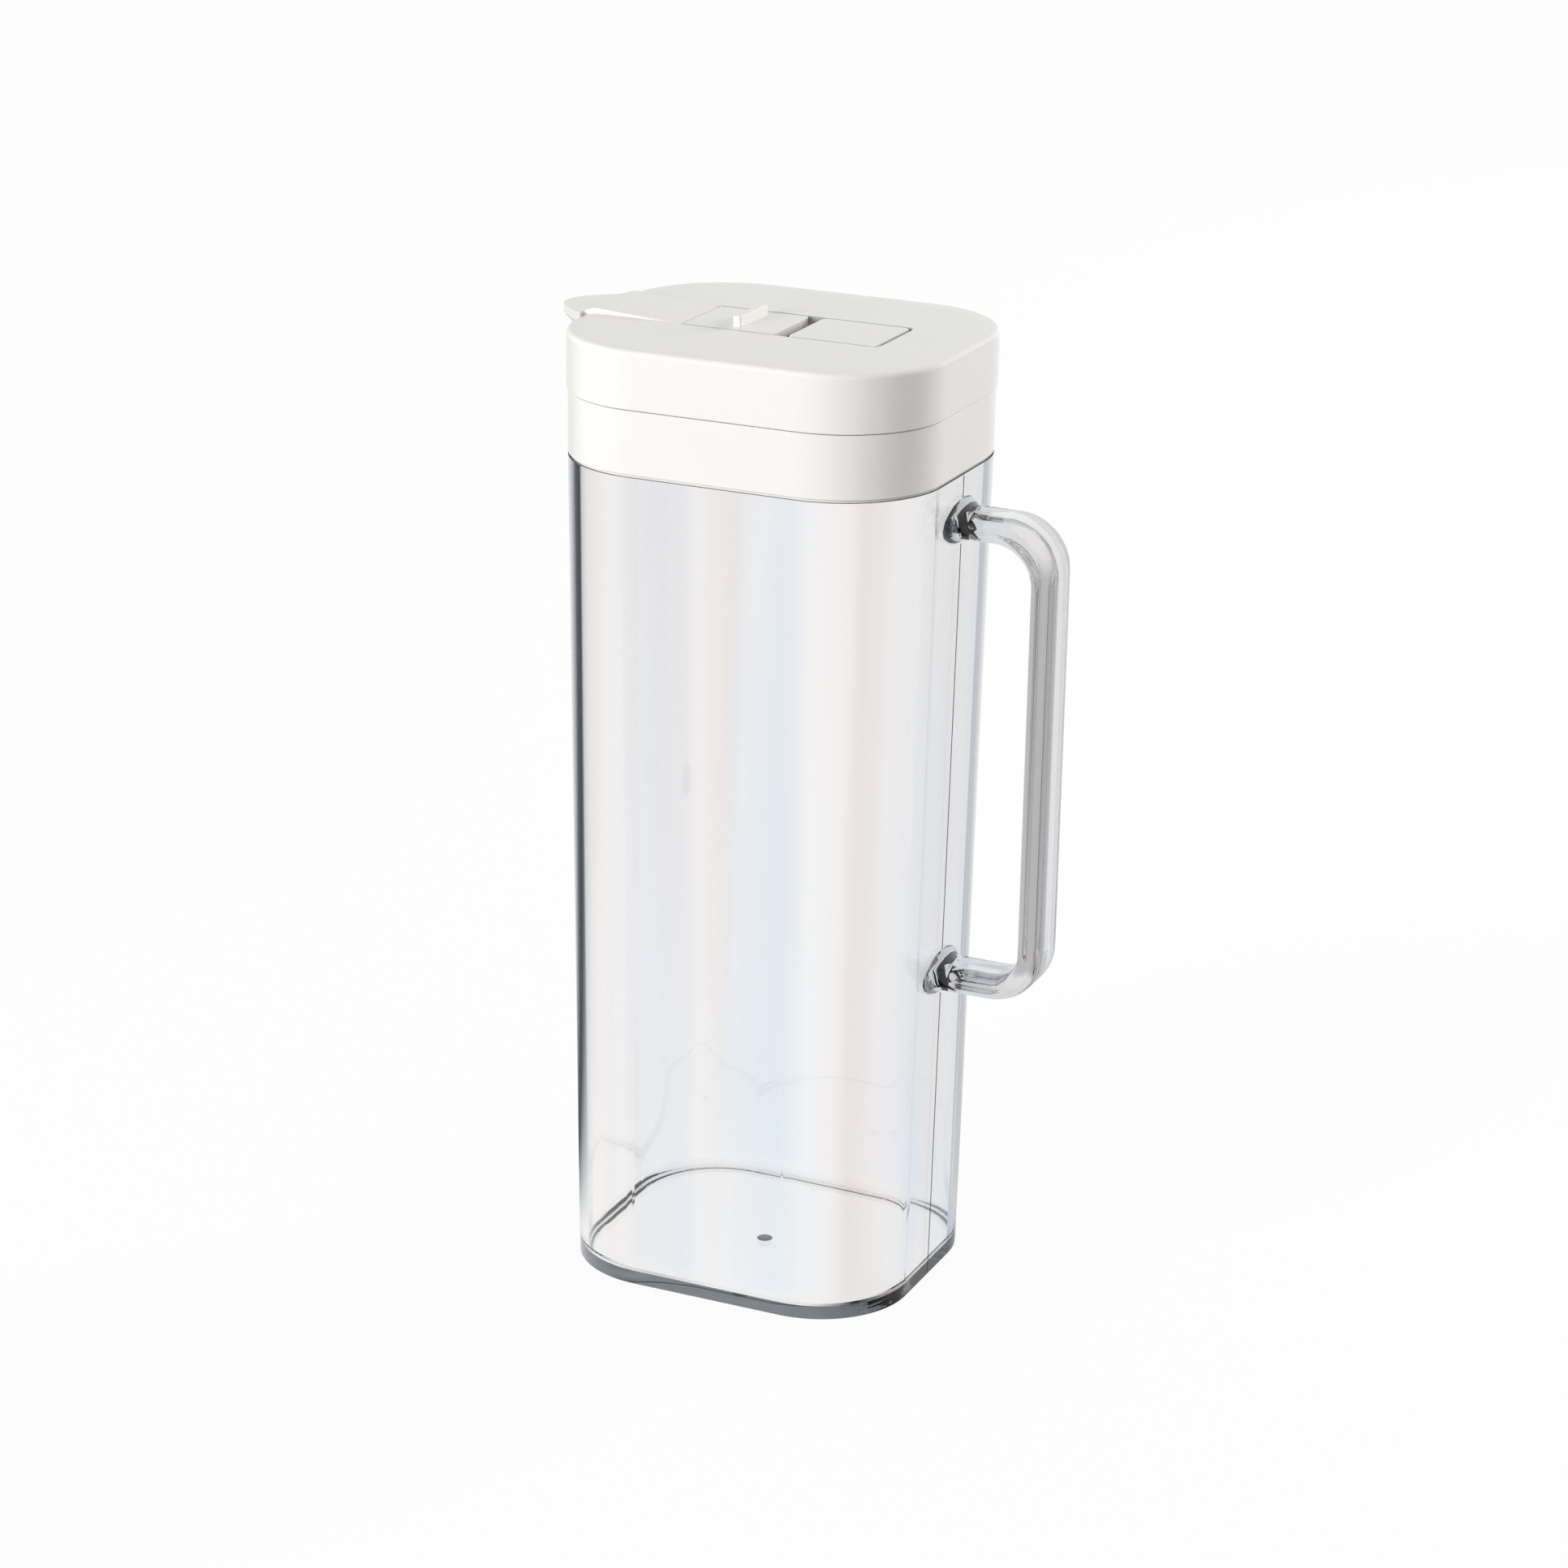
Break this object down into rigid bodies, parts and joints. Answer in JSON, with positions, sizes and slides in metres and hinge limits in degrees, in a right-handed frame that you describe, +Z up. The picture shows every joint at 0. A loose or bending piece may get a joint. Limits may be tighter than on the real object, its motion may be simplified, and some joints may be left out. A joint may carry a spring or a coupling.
{
  "type": "water pitcher",
  "caption": "Clear tall water pitcher with a side handle, an opaque collar, and a lid with a hinged pouring flap and a sliding catch.",
  "frame": {"origin": "centre of the jug's foot, on the plane that it stands on", "axes": "+Z up the jug; +X from the jug towards the handle, so the spout points along -X; +Y across the narrow side, on which the jug is mirror symmetric"},
  "size_m": [0.1532, 0.0948, 0.2832],
  "materials": {
    "clear_plastic": "clear, polished",
    "white_collar_plastic": "smooth, slightly glossy",
    "white_lid_plastic": "fine satin moulding"
  },
  "bodies": {
    "pitcher": {"jug": "clear_plastic", "collar": "white_collar_plastic", "lid": "white_lid_plastic", "cover": "white_lid_plastic"},
    "flap": {"flap": "white_lid_plastic"},
    "catch": {"catch": "white_lid_plastic"}
  },
  "joints": [
    {"name": "flap_hinge", "type": "hinge", "parent": "pitcher", "child": "flap", "pos_m": [-0.02693, 0, 0.27875], "axis": [0, 1, 0], "range_deg": [0, 90]},
    {"name": "catch_slide", "type": "slide", "parent": "pitcher", "child": "catch", "axis": [1, 0, 0], "range_m": [0, 0.0042]}
  ]
}
